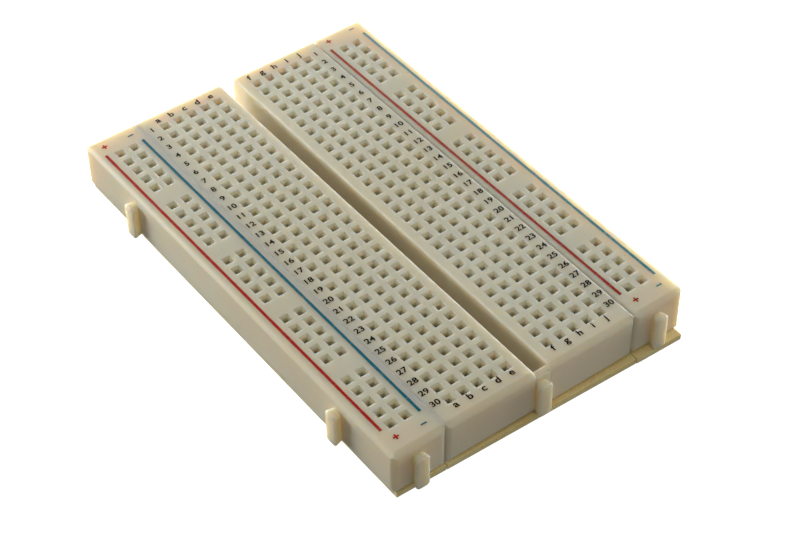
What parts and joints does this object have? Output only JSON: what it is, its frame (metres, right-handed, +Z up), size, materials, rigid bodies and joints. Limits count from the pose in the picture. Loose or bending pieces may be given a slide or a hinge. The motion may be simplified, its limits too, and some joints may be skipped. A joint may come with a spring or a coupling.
{
  "type": "solderless breadboard",
  "caption": "Ivory solderless breadboard: lettered and numbered terminal block with a central ravine, and a striped bus strip clipped to each long side.",
  "frame": {"origin": "centre of the flat resting face, on the underside of the terminal block's release liner, which is also the board's centre line across and along", "axes": "+Z up out of the tie-point face; +X across the board from column a to column j; +Y along the board from row 30 (front end) to row 1 (back end)"},
  "size_m": [0.0548, 0.0833, 0.0091],
  "materials": {
    "housing_plastic": "moulded ivory ABS, slightly translucent, fine satin texture",
    "contact_metal": "nickel-plated phosphor bronze spring strip",
    "foam": "closed-cell double-sided foam tape, amber edge",
    "release_liner": "waxed yellowish release paper"
  },
  "bodies": {
    "right_strip": {"right_bus_strip": "housing_plastic", "right_positive_bus_clip": "contact_metal", "right_negative_bus_clip": "contact_metal", "right_bus_strip_foam_pad": "foam", "right_bus_strip_release_liner": "release_liner"},
    "block": {"terminal_block": "housing_plastic", "row_01_contact_clips": "contact_metal", "row_02_contact_clips": "contact_metal", "row_03_contact_clips": "contact_metal", "row_04_contact_clips": "contact_metal", "row_05_contact_clips": "contact_metal", "row_06_contact_clips": "contact_metal", "row_07_contact_clips": "contact_metal", "row_08_contact_clips": "contact_metal", "row_09_contact_clips": "contact_metal", "row_10_contact_clips": "contact_metal", "row_11_contact_clips": "contact_metal", "row_12_contact_clips": "contact_metal", "row_13_contact_clips": "contact_metal", "row_14_contact_clips": "contact_metal", "row_15_contact_clips": "contact_metal", "row_16_contact_clips": "contact_metal", "row_17_contact_clips": "contact_metal", "row_18_contact_clips": "contact_metal", "row_19_contact_clips": "contact_metal", "row_20_contact_clips": "contact_metal", "row_21_contact_clips": "contact_metal", "row_22_contact_clips": "contact_metal", "row_23_contact_clips": "contact_metal", "row_24_contact_clips": "contact_metal", "row_25_contact_clips": "contact_metal", "row_26_contact_clips": "contact_metal", "row_27_contact_clips": "contact_metal", "row_28_contact_clips": "contact_metal", "row_29_contact_clips": "contact_metal", "row_30_contact_clips": "contact_metal", "terminal_block_foam_pad": "foam", "terminal_block_release_liner": "release_liner"},
    "left_strip": {"left_bus_strip": "housing_plastic", "left_positive_bus_clip": "contact_metal", "left_negative_bus_clip": "contact_metal", "left_bus_strip_foam_pad": "foam", "left_bus_strip_release_liner": "release_liner"}
  },
  "joints": [
    {"name": "block_off_right_strip", "type": "slide", "parent": "right_strip", "child": "block", "axis": [0, 0, 1], "range_m": [0, 0.01]},
    {"name": "left_strip_off_block", "type": "slide", "parent": "block", "child": "left_strip", "axis": [0, 0, 1], "range_m": [0, 0.01]}
  ]
}
